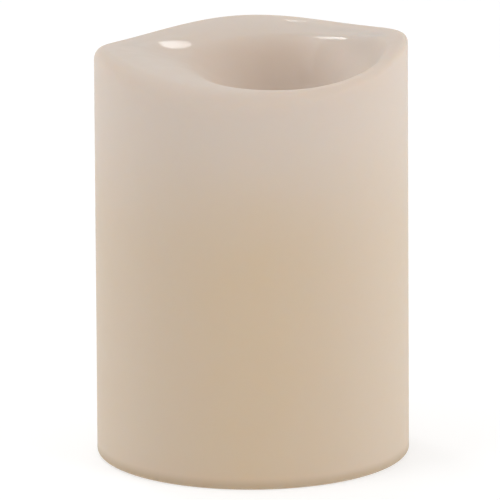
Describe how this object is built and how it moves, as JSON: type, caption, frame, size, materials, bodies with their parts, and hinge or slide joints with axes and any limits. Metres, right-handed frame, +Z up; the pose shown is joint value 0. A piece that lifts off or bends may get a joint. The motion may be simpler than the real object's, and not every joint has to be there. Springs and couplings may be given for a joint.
{
  "type": "flameless led candle",
  "caption": "Hollow wax pillar candle with a melted top and a battery insert: cells, slide switch, timer board and LED; the battery door underneath swings down.",
  "frame": {"origin": "on the table, under the centre of the pillar", "axes": "+Z up along the pillar's axis, -Y towards the front, +X to the right seen from the front"},
  "size_m": [0.0762, 0.0762, 0.1032],
  "materials": {
    "wax": "satin",
    "abs_ivory": "satin",
    "knob_black": "satin",
    "contact_nickel": "satin",
    "wiper_brass": "satin",
    "cell_steel": "polished",
    "cell_sleeve": "gloss",
    "cell_core": "matte",
    "phenolic": "matte",
    "red_insulation": "satin",
    "black_insulation": "satin",
    "board_green": "satin",
    "chip_black": "matte",
    "crystal_metal": "satin",
    "capacitor_sleeve": "gloss",
    "resistor_tan": "satin",
    "led_epoxy": "gloss",
    "spacer_white": "satin",
    "screw_steel": "satin",
    "hot_glue": "gloss"
  },
  "bodies": {
    "root": {"wax_body": "wax", "base_plate": "abs_ivory", "battery_box": "abs_ivory", "electronics_cover": "abs_ivory", "cell_1_can": "cell_steel", "cell_1_cap": "cell_steel", "cell_1_core": "cell_core", "cell_1_sleeve": "cell_sleeve", "cell_2_can": "cell_steel", "cell_2_cap": "cell_steel", "cell_2_core": "cell_core", "cell_2_sleeve": "cell_sleeve", "top_contact_positive": "contact_nickel", "top_contact_negative": "contact_nickel", "top_contact_spring": "contact_nickel", "switch_can": "contact_nickel", "switch_base": "phenolic", "switch_terminals": "contact_nickel", "switch_screws": "screw_steel", "switch_wire_red": "red_insulation", "switch_wire_black": "black_insulation", "main_pcb": "board_green", "timer_chip": "chip_black", "timing_crystal": "crystal_metal", "supply_capacitor": "capacitor_sleeve", "led_resistor": "resistor_tan", "led_lens": "led_epoxy", "led_leads": "contact_nickel", "led_spacer": "spacer_white", "housing_screws": "screw_steel", "pcb_screws": "screw_steel", "glue_beads": "hot_glue"},
    "door": {"battery_door": "abs_ivory", "door_contact_bridge": "contact_nickel", "door_contact_spring": "contact_nickel"},
    "knob": {"switch_knob": "knob_black", "switch_wiper": "wiper_brass"}
  },
  "joints": [
    {"name": "door_hinge", "type": "hinge", "parent": "root", "child": "door", "pos_m": [0, 0.017, 0.0027], "axis": [1, 0, 0], "range_deg": [0, 90]},
    {"name": "switch_slide", "type": "slide", "parent": "root", "child": "knob", "axis": [1, 0, 0], "range_m": [-0.002, 0.002]}
  ]
}
